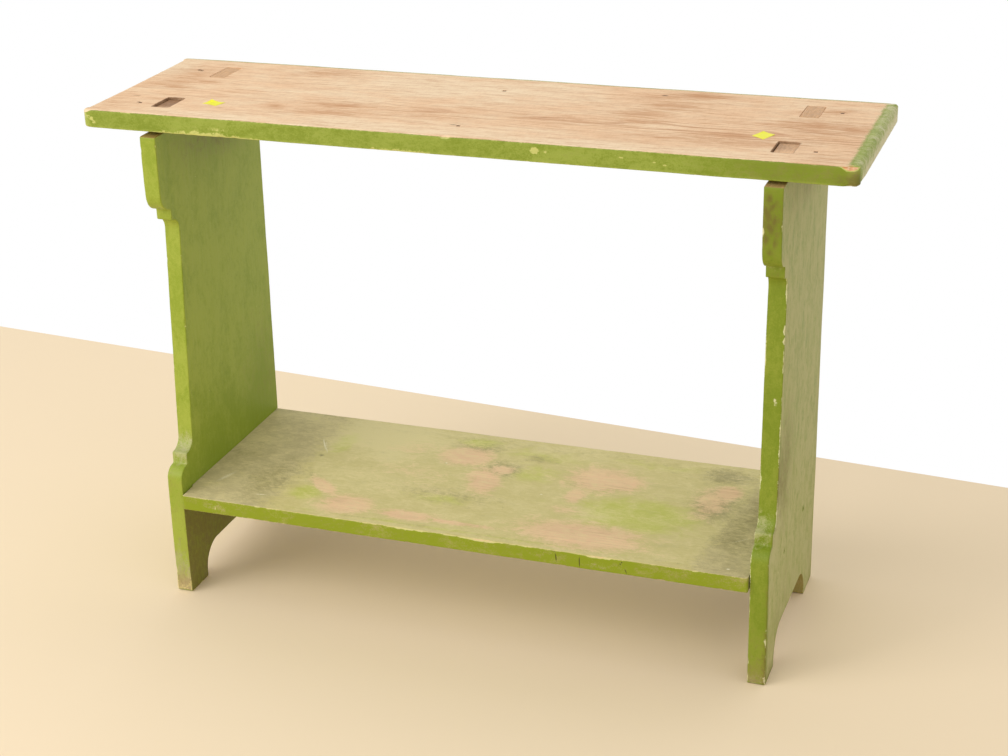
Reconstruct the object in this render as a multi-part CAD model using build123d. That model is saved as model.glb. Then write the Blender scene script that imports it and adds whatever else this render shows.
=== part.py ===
"""Bucket bench: two profiled end boards, a through-tenoned top and a housed shelf.

Frame: origin on the floor under the middle of the bench, X along its length,
Y from its moulded front edge (low Y) to its plain back edge, Z up.
"""
import os
from math import atan2, degrees

from build123d import *

LEFT = -1
RIGHT = 1

# ---------------------------------------------------------------- top board
bench_height = 633.0
top_length = 926.0
top_thickness = 22.0
top_front_y = -118.0
top_back_y = 140.0
top_corner_radius = 4.5
top_upper_arris = 3.5
top_lower_arris = 2.5

# --------------------------------------------------------------- end boards
end_thickness = {LEFT: 20.3, RIGHT: 21.5}
end_outer_x = {LEFT: 384.8, RIGHT: 385.2}
left_lean = 5.1          # how far the left end board's foot stands out at the floor
back_y_top = 142.0
back_y_floor = 137.0
foot_round = 1.5

# Front edge of an end board, from the top board down: square cap, quarter round, fillet,
# cove, tapered shaft, cove, fillet, quarter round, plinth.
cap_front_y = -124.5
cap_bottom_z = 511.0
cap_round = 22.0
upper_fillet_height = 15.0
upper_cove_step = 2.0
upper_cove_radius = 14.5
lower_cove_top_z = 207.0
lower_cove_radius = 15.5
shaft_foot_y = -101.5
lower_fillet_y = -120.0
lower_fillet_height = 15.5
plinth_round = 15.5
plinth_front_y = -137.5

# Arched cut between the two feet of an end board.
arch_front_y = -91.5
arch_back_y = 86.5
arch_height = 43.0
arch_radius = 33.0

# ------------------------------------------------------------ top's tenons
# Each end board has a narrow tenon at the front and a wide one behind it.
tenon_spans_y = [(-87.0, -44.5), (57.0, 106.5)]
tenon_below_face = {LEFT: [2.4, 0.3], RIGHT: [1.6, 0.3]}
front_shoulder_drop = 4.5  # the shoulders in front of the front tenons were cut too low
mortise_gap = 0.6
slack_gap = 1.6          # the two front mortises were cut too wide, on their left

# -------------------------------------------------------------------- shelf
shelf_front_y = -142.0
shelf_back_y = 138.0
shelf_top_z = 142.8
shelf_thickness = 19.3
shelf_arris = 0.8
housing_depth = 6.0      # shelf ends are let into the end boards
housing_stop_y = -112.0  # the housings stop short of the front edge
housing_headroom = 0.4
shelf_notch_gap = 1.3    # in front of the stop the shelf ends stand off the end boards

# -------------------------------------------------------------------- nails
shelf_nail_y = [-50.0, 63.0]
shelf_nail_z = 134.5
shelf_nail_length = 50.0
top_nail_x = [-409.0, 0.0, 408.0]
top_nail_y = [-74.0, 83.0]
top_nail_length = 19.0
nail_head_size = 4.6
nail_head_thickness = 1.2
nail_neck_size = 3.0
nail_tip_size = 1.2
nail_sunk = 0.3

# ----------------------------------------------------------- derived values
shoulder_z = bench_height - top_thickness
end_inner_x = {side: end_outer_x[side] - end_thickness[side] for side in (LEFT, RIGHT)}
shelf_bottom_z = shelf_top_z - shelf_thickness
lean_angle = degrees(atan2(left_lean, shoulder_z))
spare = 5.0              # how far cutting shapes run past the faces they cut


def box_between(low, high):
    """A box given by its lowest and highest corners."""
    size = [h - l for l, h in zip(low, high)]
    middle = [(l + h) / 2 for l, h in zip(low, high)]
    return Pos(*middle) * Box(*size)


def lean_offset(side, z):
    """How much further out an end board's faces stand at height z than at its shoulders."""
    if side == RIGHT:
        return 0.0
    return left_lean * (1 - z / shoulder_z)


def shelf_tongue_x(side):
    """Distance from the bench's middle to the bottom of one end board's housing."""
    return end_inner_x[side] + lean_offset(side, shelf_bottom_z) + housing_depth


def end_board_outline():
    """Side view of an end board's blank in the YZ plane, a little over-long at both ends."""
    above = shoulder_z + spare
    below = -spare
    fillet_y = cap_front_y + cap_round
    fillet_bottom_z = cap_bottom_z - upper_fillet_height
    cove_y = fillet_y + upper_cove_step
    shaft_top_y = cove_y + upper_cove_radius
    lower_cove_y = shaft_foot_y - lower_cove_radius
    lower_cove_z = lower_cove_top_z - lower_cove_radius
    plinth_top_z = lower_cove_z - lower_fillet_height
    plinth_round_y = plinth_front_y + plinth_round
    arch_spring_z = arch_height - arch_radius

    cap_start = (cap_front_y, above)
    cap_round_centre = (fillet_y, cap_bottom_z + cap_round)
    upper_cove_centre = (cove_y, fillet_bottom_z - upper_cove_radius)
    lower_cove_centre = (lower_cove_y, lower_cove_top_z)
    plinth_round_centre = (plinth_round_y, plinth_top_z - plinth_round)

    edges = [
        Line(cap_start, (cap_front_y, cap_round_centre[1])),
        CenterArc(cap_round_centre, cap_round, 180, 90),
        Line((fillet_y, cap_bottom_z), (fillet_y, fillet_bottom_z)),
        Line((fillet_y, fillet_bottom_z), (cove_y, fillet_bottom_z)),
        CenterArc(upper_cove_centre, upper_cove_radius, 90, -90),
        Line((shaft_top_y, upper_cove_centre[1]), (shaft_foot_y, lower_cove_top_z)),
        CenterArc(lower_cove_centre, lower_cove_radius, 0, -90),
        Line((lower_cove_y, lower_cove_z), (lower_fillet_y, lower_cove_z)),
        Line((lower_fillet_y, lower_cove_z), (lower_fillet_y, plinth_top_z)),
        Line((lower_fillet_y, plinth_top_z), (plinth_round_y, plinth_top_z)),
        CenterArc(plinth_round_centre, plinth_round, 90, 90),
        Line((plinth_front_y, plinth_round_centre[1]), (plinth_front_y, below)),
        Line((plinth_front_y, below), (arch_front_y, below)),
        Line((arch_front_y, below), (arch_front_y, arch_spring_z)),
        CenterArc((arch_front_y + arch_radius, arch_spring_z), arch_radius, 180, -90),
        Line((arch_front_y + arch_radius, arch_height), (arch_back_y - arch_radius, arch_height)),
        CenterArc((arch_back_y - arch_radius, arch_spring_z), arch_radius, 90, -90),
        Line((arch_back_y, arch_spring_z), (arch_back_y, below)),
        Line((arch_back_y, below), (back_y_floor, below)),
        Line((back_y_floor, below), (back_y_top, above)),
        Line((back_y_top, above), cap_start),
    ]
    return Plane.YZ * make_face(Wire(edges))


def tenons(side):
    """The two tenons of one end board, which stop a little under the top board's face."""
    low_x, high_x = sorted((side * end_inner_x[side], side * end_outer_x[side]))
    return [
        box_between((low_x, front, shoulder_z), (high_x, back, bench_height - below))
        for (front, back), below in zip(tenon_spans_y, tenon_below_face[side])
    ]


def mortises(side):
    """The through holes for one end board's tenons, the front one over-long to the left."""
    low_x, high_x = sorted((side * end_inner_x[side], side * end_outer_x[side]))
    holes = []
    for (front, back), slack in zip(tenon_spans_y, (slack_gap, 0.0)):
        low = (low_x - mortise_gap - slack, front - mortise_gap, shoulder_z - spare)
        high = (high_x + mortise_gap, back + mortise_gap, bench_height + spare)
        holes.append(box_between(low, high))
    return holes


def shelf_nails(side):
    """Two nails driven through one end board into the end of the shelf."""
    outer = end_outer_x[side] + lean_offset(side, shelf_nail_z) - nail_sunk
    direction = (-side, 0, 0)
    return [
        nail((side * outer, y, shelf_nail_z), direction, shelf_nail_length)
        for y in shelf_nail_y
    ]


def top_nails():
    """Six short nails left in the top board, in two rows of three."""
    head_z = bench_height - nail_sunk
    return [
        nail((x, y, head_z), (0, 0, -1), top_nail_length)
        for x in top_nail_x
        for y in top_nail_y
    ]


def nail(head_centre, direction, length):
    """A cut nail: a small square head on a tapering square shank."""
    head_plane = Plane(origin=head_centre, z_dir=direction)
    neck_plane = head_plane.offset(nail_head_thickness)
    tip_plane = head_plane.offset(length)
    head = extrude(head_plane * Rectangle(nail_head_size, nail_head_size), nail_head_thickness)
    neck = neck_plane * Rectangle(nail_neck_size, nail_neck_size)
    tip = tip_plane * Rectangle(nail_tip_size, nail_tip_size)
    return head + loft([neck, tip])


def nail_pockets(nails, direction):
    """The holes that the nails sit in, open above the sunk heads."""
    cutters = list(nails)
    for one in nails:
        head_face = one.faces().sort_by(Axis((0, 0, 0), direction))[0]
        cutters.append(extrude(head_face, nail_sunk + spare, dir=[-c for c in direction]))
    return cutters


def end_board(side):
    """One end board with its moulded front edge, arched foot, housing and tenons."""
    blank = extrude(end_board_outline(), end_thickness[side])
    if side == RIGHT:
        blank = Pos(end_inner_x[side], 0, 0) * blank
    else:
        blank = Pos(-end_outer_x[side], 0, 0) * blank
        hinge = Axis((-end_inner_x[side], 0, shoulder_z), (0, 1, 0))
        blank = blank.rotate(hinge, lean_angle)
    reach = end_outer_x[side] + left_lean + spare
    standing = box_between((-reach, shelf_front_y, 0), (reach, back_y_top + spare, shoulder_z))
    board = round_feet(blank & standing)
    board -= box_between(
        (-reach, shelf_front_y, shoulder_z - front_shoulder_drop),
        (reach, tenon_spans_y[0][0], shoulder_z + spare),
    )

    mouth_x = side * (end_inner_x[side] - spare)
    bottom_x = side * shelf_tongue_x(side)
    low_x, high_x = sorted((mouth_x, bottom_x))
    board -= box_between(
        (low_x, housing_stop_y, shelf_bottom_z),
        (high_x, back_y_top + spare, shelf_top_z + housing_headroom),
    )
    for tenon in tenons(side):
        board += tenon
    for cutter in nail_pockets(shelf_nails(side), (-side, 0, 0)):
        board -= cutter
    return board


def round_feet(board):
    """Round an end board's feet all round where they meet the floor."""
    return fillet(board.edges().group_by(Axis.Z)[0], foot_round)


def shelf():
    """The shelf, whose ends go into the housings and are notched round the stops."""
    shoulders = [shelf_tongue_x(side) - housing_depth - shelf_notch_gap for side in (LEFT, RIGHT)]
    board = box_between(
        (-shoulders[0], shelf_front_y, shelf_bottom_z),
        (shoulders[1], shelf_back_y, shelf_top_z),
    )
    board = fillet(board.edges().filter_by(Axis.X), shelf_arris)
    board += box_between(
        (-shelf_tongue_x(LEFT), housing_stop_y, shelf_bottom_z),
        (shelf_tongue_x(RIGHT), shelf_back_y - shelf_arris, shelf_top_z),
    )
    for one in shelf_nails(LEFT) + shelf_nails(RIGHT):
        board -= one
    return board


def top():
    """The top board, mortised for the four tenons."""
    half = top_length / 2
    board = box_between(
        (-half, top_front_y, shoulder_z),
        (half, top_back_y, bench_height),
    )
    board = fillet(board.edges().filter_by(Axis.Z), top_corner_radius)
    upper = board.edges().group_by(Axis.Z)[-1]
    board = fillet(upper, top_upper_arris)
    lower = board.edges().group_by(Axis.Z)[0]
    board = fillet(lower, top_lower_arris)
    for side in (LEFT, RIGHT):
        for mortise in mortises(side):
            board -= mortise
    for cutter in nail_pockets(top_nails(), (0, 0, -1)):
        board -= cutter
    return board


def main():
    """Write every piece of the bench to its own STEP file."""
    pieces = {
        "top_board": top(),
        "left_end_board": end_board(LEFT),
        "right_end_board": end_board(RIGHT),
        "shelf_board": shelf(),
        "left_shelf_nails": Compound(children=shelf_nails(LEFT)),
        "right_shelf_nails": Compound(children=shelf_nails(RIGHT)),
        "top_nails": Compound(children=top_nails()),
    }
    os.makedirs("parts", exist_ok=True)
    for name, piece in pieces.items():
        export_step(piece, f"parts/{name}.step")


main()
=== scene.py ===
"""The bucket bench's looks: four worn boards, their nails and two paper stickers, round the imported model."""
import math

import bmesh
import bpy
import numpy as np
from mathutils import Matrix, Vector
from mathutils.geometry import delaunay_2d_cdt
from mathutils.kdtree import KDTree


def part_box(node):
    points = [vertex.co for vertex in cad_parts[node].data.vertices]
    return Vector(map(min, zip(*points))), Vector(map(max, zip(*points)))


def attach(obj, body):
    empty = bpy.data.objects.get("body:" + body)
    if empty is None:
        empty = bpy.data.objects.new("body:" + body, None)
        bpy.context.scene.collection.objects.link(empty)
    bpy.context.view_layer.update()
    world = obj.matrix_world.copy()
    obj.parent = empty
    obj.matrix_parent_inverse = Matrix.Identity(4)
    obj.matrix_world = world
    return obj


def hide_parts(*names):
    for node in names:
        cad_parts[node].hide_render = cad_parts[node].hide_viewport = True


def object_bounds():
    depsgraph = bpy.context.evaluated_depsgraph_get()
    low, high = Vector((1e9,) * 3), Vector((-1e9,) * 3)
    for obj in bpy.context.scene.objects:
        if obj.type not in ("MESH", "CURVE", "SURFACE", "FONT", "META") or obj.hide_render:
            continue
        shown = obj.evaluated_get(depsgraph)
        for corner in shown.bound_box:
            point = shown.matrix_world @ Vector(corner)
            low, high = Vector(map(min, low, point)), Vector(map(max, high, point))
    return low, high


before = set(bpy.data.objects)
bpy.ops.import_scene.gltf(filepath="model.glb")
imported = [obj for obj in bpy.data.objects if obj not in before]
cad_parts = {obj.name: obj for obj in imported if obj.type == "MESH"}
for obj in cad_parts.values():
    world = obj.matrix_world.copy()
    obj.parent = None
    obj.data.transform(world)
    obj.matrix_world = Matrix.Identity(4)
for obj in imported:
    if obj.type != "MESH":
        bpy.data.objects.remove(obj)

cad_low, cad_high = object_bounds()

# Sizes in millimetres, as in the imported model's own source. Blender gets metres.
MM = 0.001
SAMPLE = 1.4             # distance between points along an outline
FACE_GRID = 6.0          # distance between points over a board's face
MARK_GRID = 1.6          # the same where small marks lie
EDGE_ROWS = (1.6, 4.0)   # how far inside the worn arris the first rows of points lie
CORNER_PASSES = 3        # smoothing passes that take the sharpness off an outline's corners
MARKED = 0.04            # a mark's strength from which the closer points lie
ARRIS_STEPS = 4          # rows of faces round an arris
WALL_STEP = 2.6          # height of a row of faces on an edge wall
HOLE_ARRIS = 0.12        # wear of the arrises of mortises
BEND_REACH = 4           # an arris is held small for this many points on each side of a sharp corner
BEND_LIMIT = 0.7         # the most that an arris may be worn, in parts of the corner's own radius
LEAST_ARRIS = 0.1        # no arris is sharper than this
SHARP_ANGLE = math.radians(38)
SMALLEST_LOOP = 10.0     # nail holes are smaller than this; only shallow pockets round the nail heads are carved later
SECTION_HEIGHT = 3.0     # the shelf's outline is read this far above its underside
HOUSING_HEADROOM = 0.4   # between the shelf's face and the top of its housings
TOP_POCKET_DEPTH = 1.4   # of the open pockets round the heads of the top nails
NAIL_CLEARANCE = 0.15    # round those heads
END_POCKET_DEPTH = 0.5   # of the shallow pockets over the end boards' nails
NAIL_TIGHTNESS = 0.4     # these are smaller than the heads by this on each side, so no gap shows round them
CUT_PAST = 6.0           # how far a cut goes on outside the wood
# What the paint reads inside the end boards' cuts and on their nails, which are painted over.
PAINTED_OVER = {"faded": 0.35, "dust": 0.75, "edge": 9.0}


# ---------------------------------------------------------------- reading the frame
def section_loops(node, axis, place):
    """The closed outlines, in millimetres, where a plane cuts a CAD node, the longest first."""
    mesh = bmesh.new()
    mesh.from_mesh(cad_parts[node].data)
    bmesh.ops.remove_doubles(mesh, verts=mesh.verts, dist=1e-6)
    normal = Vector([float(index == axis) for index in range(3)])
    everything = mesh.verts[:] + mesh.edges[:] + mesh.faces[:]
    bmesh.ops.bisect_plane(
        mesh, geom=everything, plane_co=normal * place * MM, plane_no=normal,
        clear_inner=True, clear_outer=True, dist=1e-7,
    )
    across = [index for index in range(3) if index != axis]
    seen = set()
    loops = []
    for start in mesh.verts:
        line = []
        here = start
        while here is not None and here not in seen:
            seen.add(here)
            line.append([here.co[index] / MM for index in across])
            ahead = [edge.other_vert(here) for edge in here.link_edges]
            here = next((vert for vert in ahead if vert not in seen), None)
        if line:
            loops.append(np.array(line))
    mesh.free()
    return sorted(loops, key=span, reverse=True)


def span(points):
    """The longer side of the points' bounding box."""
    return max(np.ptp(points, axis=0))


def separate_boxes(node):
    """The boxes, in millimetres, of the separate solids in a CAD node."""
    mesh = bmesh.new()
    mesh.from_mesh(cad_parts[node].data)
    bmesh.ops.remove_doubles(mesh, verts=mesh.verts, dist=1e-6)
    seen = set()
    boxes = []
    for start in mesh.verts:
        if start in seen:
            continue
        found = [start]
        seen.add(start)
        for vert in found:
            for edge in vert.link_edges:
                other = edge.other_vert(vert)
                if other not in seen:
                    seen.add(other)
                    found.append(other)
        corners = np.array([vert.co[:] for vert in found]) / MM
        boxes.append((corners.min(0), corners.max(0)))
    mesh.free()
    return boxes


def box_of(node):
    """A CAD node's lowest and highest corners in millimetres."""
    low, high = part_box(node)
    return np.array(low) / MM, np.array(high) / MM


# ---------------------------------------------------------------- smooth numbers
def ease(value, low, high):
    """0 below low and 1 above high, with a smooth way between them."""
    share = np.clip((value - low) / (high - low), 0, 1)
    return share * share * (3 - 2 * share)


def wander(places, length, step, rng):
    """Smooth random values from -1 to 1 along a closed line of that length, changing about every step."""
    count = max(4, round(length / step))
    knots = rng.uniform(-1, 1, count)
    at = places / length * count
    first = np.floor(at).astype(int)
    blend = at - first
    blend = blend * blend * (3 - 2 * blend)
    return knots[first % count] * (1 - blend) + knots[(first + 1) % count] * blend


def swell(p, q, wavelength, rng, waves=7):
    """Smooth random heights from about -1 to 1 over a plane, as a sum of waves in random directions."""
    total = np.zeros(len(p))
    for _ in range(waves):
        angle = rng.uniform(0, math.tau)
        length = wavelength * rng.uniform(0.6, 1.6)
        phase = rng.uniform(0, math.tau)
        total += np.sin((p * math.cos(angle) + q * math.sin(angle)) * math.tau / length + phase)
    return total / math.sqrt(waves)


# ---------------------------------------------------------------- outlines
def walk(loop):
    """Distances along a closed loop to each of its points, and its whole length."""
    steps = np.linalg.norm(np.roll(loop, -1, axis=0) - loop, axis=1)
    return np.concatenate([[0.0], np.cumsum(steps)[:-1]]), steps.sum()


def signed_area(loop):
    """A closed loop's area, below zero when it turns to the right."""
    after = np.roll(loop, -1, axis=0)
    return float((loop[:, 0] * after[:, 1] - after[:, 0] * loop[:, 1]).sum() / 2)


def resample(loop, spacing, is_hole):
    """The loop with evenly spaced points and eased corners, turning so that the wood is on its left."""
    if (signed_area(loop) < 0) != is_hole:
        loop = loop[::-1]
    places, length = walk(loop)
    count = int(round(length / spacing))
    wanted = np.arange(count) * length / count
    closed = np.vstack([loop, loop[:1]])
    ends = np.append(places, length)
    even = np.column_stack([np.interp(wanted, ends, closed[:, k]) for k in (0, 1)])
    for _ in range(CORNER_PASSES):
        even = (np.roll(even, 1, axis=0) + 2 * even + np.roll(even, -1, axis=0)) / 4
    return even


def inward(loop):
    """Unit vectors at each point of a loop, pointing into the wood on its left."""
    along = np.roll(loop, -1, axis=0) - np.roll(loop, 1, axis=0)
    along /= np.linalg.norm(along, axis=1)[:, None]
    return np.column_stack([-along[:, 1], along[:, 0]])


def outward_bend(loop):
    """How sharply a loop turns at each point, per millimetre, above zero on corners that stick out."""
    before = loop - np.roll(loop, 1, axis=0)
    after = np.roll(loop, -1, axis=0) - loop
    turn = before[:, 0] * after[:, 1] - before[:, 1] * after[:, 0]
    lengths = np.linalg.norm(before, axis=1) * np.linalg.norm(after, axis=1)
    step = (np.linalg.norm(before, axis=1) + np.linalg.norm(after, axis=1)) / 2
    return np.arcsin(np.clip(turn / lengths, -1, 1)) / step


class Arris:
    """How far each of a loop's points is worn back. size is a number, or gives one at (p, q)."""

    def __init__(self, loop, size, rng, chips=(), nicks=0.0):
        places, length = walk(loop)
        if callable(size):
            size = size(*loop.T)
        slow = wander(places, length, 55.0, rng)
        quick = wander(places, length, 9.0, rng)
        fine = wander(places, length, 3.2, rng)
        uneven = np.minimum(size, 1.2)
        self.radius = size + uneven * (0.3 * slow + 0.22 * quick + 0.12 * fine)
        nicked = np.clip(wander(places, length, 11.0, rng) + 0.45 * slow - 0.72, 0, None)
        self.radius += nicks * nicked
        self.chip = np.clip(nicked * 3, 0, 1) * min(1.0, nicks)
        for p, q, reach, depth in chips:
            nearest = int(np.argmin(np.hypot(loop[:, 0] - p, loop[:, 1] - q)))
            away = np.abs(places - places[nearest])
            away = np.minimum(away, length - away) / (reach / 2)
            window = np.sqrt(np.clip(1 - away**2, 0, 1)) * (1 + 0.25 * fine + 0.2 * quick)
            self.radius += depth * window
            self.chip = np.maximum(self.chip, np.clip(window * 1.6, 0, 1))
        bend = np.clip(outward_bend(loop), 1e-6, None)
        bend = np.max([np.roll(bend, shift) for shift in range(-BEND_REACH, BEND_REACH + 1)], axis=0)
        self.radius = np.clip(np.minimum(self.radius, BEND_LIMIT / bend), LEAST_ARRIS, None)


# ---------------------------------------------------------------- boards
def loose_grid(low, high, grid, rng):
    """Points about grid apart over a rectangle, none quite in line."""
    mesh_p, mesh_q = np.meshgrid(np.arange(low[0], high[0], grid), np.arange(low[1], high[1], grid * 0.87))
    mesh_p[1::2] += grid / 2
    spots = np.column_stack([mesh_p.ravel(), mesh_q.ravel()])
    return spots + rng.uniform(-0.18, 0.18, spots.shape) * grid


def patches(p, q, places):
    """The strongest, at each point, of some soft oval patches.

    Each place is a patch's middle along p and q, its reach along both, its strength and, for a slanting one,
    its turn in degrees. A patch falls to half its strength at its reach.
    """
    strongest = np.zeros(len(p))
    for middle_p, middle_q, reach_p, reach_q, strength, *turned in places:
        turn = math.radians(turned[0]) if turned else 0.0
        cosine, sine = math.cos(turn), math.sin(turn)
        along = ((p - middle_p) * cosine + (q - middle_q) * sine) / reach_p
        across = ((q - middle_q) * cosine - (p - middle_p) * sine) / reach_q
        strongest = np.maximum(strongest, strength * 0.5 ** (along**2 + across**2))
    return strongest


def within(spots, ring):
    """Which spots lie inside a closed ring."""
    p, q = spots.T
    inside = np.zeros(len(spots), bool)
    for (p1, q1), (p2, q2) in zip(ring, np.roll(ring, -1, axis=0)):
        if q1 != q2:
            inside ^= ((q1 > q) != (q2 > q)) & (p < p1 + (p2 - p1) * (q - q1) / (q2 - q1))
    return inside


class Board:
    """A plank's mesh: faces, worn arrises and edge walls, with what the materials need to know at each point.

    Points lie at (p, q) in the plank's plane and at a depth below its first face. wrap is the way round the
    section: minus the distance to the edge on the first face, the depth on a wall, and the thickness plus
    the distance to the edge on the second face. hole tells whether that edge is a hole's. marks are patches
    of the first face that need closer points.
    """

    def __init__(self, loops, thickness, seed, sizes, nicks=0.6, chips=((), ()), marks=()):
        rng = np.random.default_rng(seed)
        self.thickness = thickness
        self.rng = rng
        self.points = []
        self.wrap = []
        self.chip = []
        self.hole = []
        self.faces = []
        self.count = 0
        first_rings = []
        second_rings = []
        self.loops = [resample(loop, SAMPLE, index > 0) for index, loop in enumerate(loops)]
        for index, loop in enumerate(self.loops):
            hole = index > 0
            if hole:
                arrises = [Arris(loop, HOLE_ARRIS, rng) for _ in (0, 1)]
            else:
                arrises = [Arris(loop, sizes[side], rng, chips[side], nicks) for side in (0, 1)]
            rings = self.add_wall(loop, arrises, hole, rng)
            first_rings.append((rings[0], arrises[0]))
            second_rings.append((rings[-1], arrises[1]))
        self.add_face(first_rings, 0.0, marks, rng)
        self.add_face(second_rings, thickness, (), rng)
        self.points = np.vstack(self.points)
        self.wrap = np.concatenate(self.wrap)
        self.chip = np.concatenate(self.chip)
        self.hole = np.concatenate(self.hole)

    def add(self, p, q, depth, wrap, chip, hole):
        """Adds points and returns their numbers."""
        self.points.append(np.column_stack([p, q, depth]))
        self.wrap.append(wrap)
        self.chip.append(chip)
        self.hole.append(np.broadcast_to(hole, len(p)))
        numbers = np.arange(self.count, self.count + len(p))
        self.count += len(p)
        return numbers

    def add_wall(self, loop, arrises, hole, rng):
        """The edge wall along one loop, with its two arrises. Returns the rings of point numbers."""
        normal = inward(loop)
        places, length = walk(loop)
        uneven = 0.10 * wander(places, length, 30.0, rng) + 0.06 * wander(places, length, 6.0, rng)
        rings = []
        rows = []
        for step in range(ARRIS_STEPS + 1):
            rows.append(self.arris_row(arrises[0], step))
        middle = max(2, round(self.thickness / WALL_STEP))
        for step in range(1, middle):
            share = step / middle
            low, high = arrises[0].radius, self.thickness - arrises[1].radius
            fade = (1 - share) * arrises[0].chip + share * arrises[1].chip
            rows.append((np.zeros(len(loop)), low + (high - low) * share, fade * abs(2 * share - 1) ** 2))
        for step in range(ARRIS_STEPS, -1, -1):
            inset, depth, chip = self.arris_row(arrises[1], step)
            rows.append((inset, self.thickness - depth, chip))
        for inset, depth, chip in rows:
            on_first = depth < self.thickness / 2
            wrap = np.where(on_first, depth - inset, depth + inset)
            spots = loop + normal * (inset + uneven)[:, None]
            rings.append(self.add(spots[:, 0], spots[:, 1], depth, wrap, chip, hole))
        for before, after in zip(rings, rings[1:]):
            self.faces += np.column_stack(
                [before, np.roll(before, -1), np.roll(after, -1), after]
            ).tolist()
        return rings

    def hole_of(self, ring):
        """Whether each point of a ring is on the rim of a hole."""
        return np.concatenate(self.hole)[ring]

    def arris_row(self, arris, step):
        """One row of an arris: inset, depth and chip, from the flat face (0) to the wall (ARRIS_STEPS)."""
        angle = math.pi / 2 * step / ARRIS_STEPS
        share = step / ARRIS_STEPS
        flat = 0.8 * arris.chip
        inset = arris.radius * ((1 - math.sin(angle)) * (1 - flat) + (1 - share) * flat)
        depth = arris.radius * ((1 - math.cos(angle)) * (1 - flat) + share * flat)
        return inset, depth, arris.chip

    def add_face(self, rings, depth, marks, rng):
        """Fills the face inside the rings, with rows of points near the edges and a loose grid elsewhere."""
        every = np.concatenate([ring for ring, _ in rings])
        all_points = np.vstack(self.points)
        rim = all_points[every][:, :2]
        normals = np.vstack([inward(loop) for loop in self.loops])
        chips = np.concatenate([arris.chip for _, arris in rings])
        holes = np.concatenate([self.hole_of(ring) for ring, _ in rings])
        tree = KDTree(len(rim))
        for number, spot in enumerate(rim):
            tree.insert((*spot, 0), number)
        tree.balance()

        def from_rim(spots):
            """Distance from the rim, below zero outside it, and the nearest rim point."""
            found = [tree.find((*spot, 0)) for spot in spots]
            nearest = np.array([number for _, number, _ in found], int)
            away = np.array([distance for _, _, distance in found])
            side = ((spots - rim[nearest]) * normals[nearest]).sum(1)
            return np.where(side > 0, away, -away), nearest

        inner = []
        for row in EDGE_ROWS:
            step = 2 if row > EDGE_ROWS[0] else 1
            spots = (rim + normals * row)[::step]
            inner.append(spots[from_rim(spots)[0] > row * 0.85])
        for grid, marked in ((FACE_GRID, False), (MARK_GRID, True)):
            spots = loose_grid(rim.min(0), rim.max(0), grid, rng)
            spots = spots[(patches(*spots.T, marks) > MARKED) == marked]
            inner.append(spots[from_rim(spots)[0] > EDGE_ROWS[-1] + grid * 0.45])
        inner = np.vstack(inner)

        away, nearest = from_rim(inner)
        sign = -1 if depth == 0 else 1
        chip = chips[nearest] * np.exp(-away / 1.5)
        level = np.full(len(inner), depth)
        numbers = self.add(*inner.T, level, depth + sign * away, chip, holes[nearest])
        every = np.concatenate([every, numbers])
        spots = np.vstack([rim, inner])
        edges = []
        start = 0
        for ring, _ in rings:
            follow = np.arange(start, start + len(ring))
            edges += list(zip(follow.tolist(), np.roll(follow, -1).tolist()))
            start += len(ring)
        made = delaunay_2d_cdt([Vector(spot) for spot in spots], edges, [], 0, 1e-5)
        if any(len(source) != 1 for source in made[3]):
            print("face fill: rim points met or crossed")
        source = np.array([number[0] if number else 0 for number in made[3]])
        triangles = source[np.array(made[2])]
        centres = spots[triangles].mean(1)
        inside = np.logical_xor.reduce([within(centres, all_points[ring][:, :2]) for ring, _ in rings])
        self.faces += every[triangles[inside]].tolist()


def everywhere(values, points):
    """The same few values at every one of the points."""
    return {key: np.full(len(points), value) for key, value in (values or {}).items()}


def make_object(name, points, faces, values=None):
    """A mesh object from points in millimetres. values are numbers kept at each point for the materials."""
    mesh = bpy.data.meshes.new(name)
    mesh.from_pydata((np.asarray(points) * MM).tolist(), [], faces)
    for key, value in (values or {}).items():
        mesh.attributes.new(key, "FLOAT", "POINT").data.foreach_set("value", np.asarray(value, np.float32))
    piece = bpy.data.objects.new(name, mesh)
    bpy.context.scene.collection.objects.link(piece)
    face_outward(mesh)
    return piece


def face_outward(mesh):
    """Turns all faces outwards and shades them smoothly, but for sharp edges."""
    work = bmesh.new()
    work.from_mesh(mesh)
    bmesh.ops.recalc_face_normals(work, faces=work.faces)
    work.to_mesh(mesh)
    work.free()
    mesh.shade_smooth()
    mesh.set_sharp_from_angle(angle=SHARP_ANGLE)


def carve(piece, boxes, values=None):
    """Cuts boxes, given by corners in millimetres, out of a piece. Materials read values in the cuts."""
    corners = []
    faces = []
    for low, high in boxes:
        base = len(corners)
        corners += [[(low, high)[i][0], (low, high)[j][1], (low, high)[k][2]]
                    for i in (0, 1) for j in (0, 1) for k in (0, 1)]
        faces += [[base + n for n in side] for side in
                  ((0, 1, 3, 2), (4, 6, 7, 5), (0, 4, 5, 1), (2, 3, 7, 6), (0, 2, 6, 4), (1, 5, 7, 3))]
    cutter = make_object("cutter", corners, faces, everywhere(values, corners))
    change = piece.modifiers.new("carve", "BOOLEAN")
    change.operation = "DIFFERENCE"
    change.solver = "EXACT"
    change.object = cutter
    seen = piece.evaluated_get(bpy.context.evaluated_depsgraph_get())
    piece.data = bpy.data.meshes.new_from_object(seen)
    piece.modifiers.clear()
    bpy.data.objects.remove(cutter)
    piece.data.shade_smooth()
    piece.data.set_sharp_from_angle(angle=SHARP_ANGLE)


def finish_piece(piece, material, slot, *nodes):
    """Gives a piece its material and body, and hides the CAD nodes that it stands for. slot is not used."""
    piece.data.materials.clear()
    piece.data.materials.append(material)
    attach(piece, "root")
    if nodes:
        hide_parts(*nodes)


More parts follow.
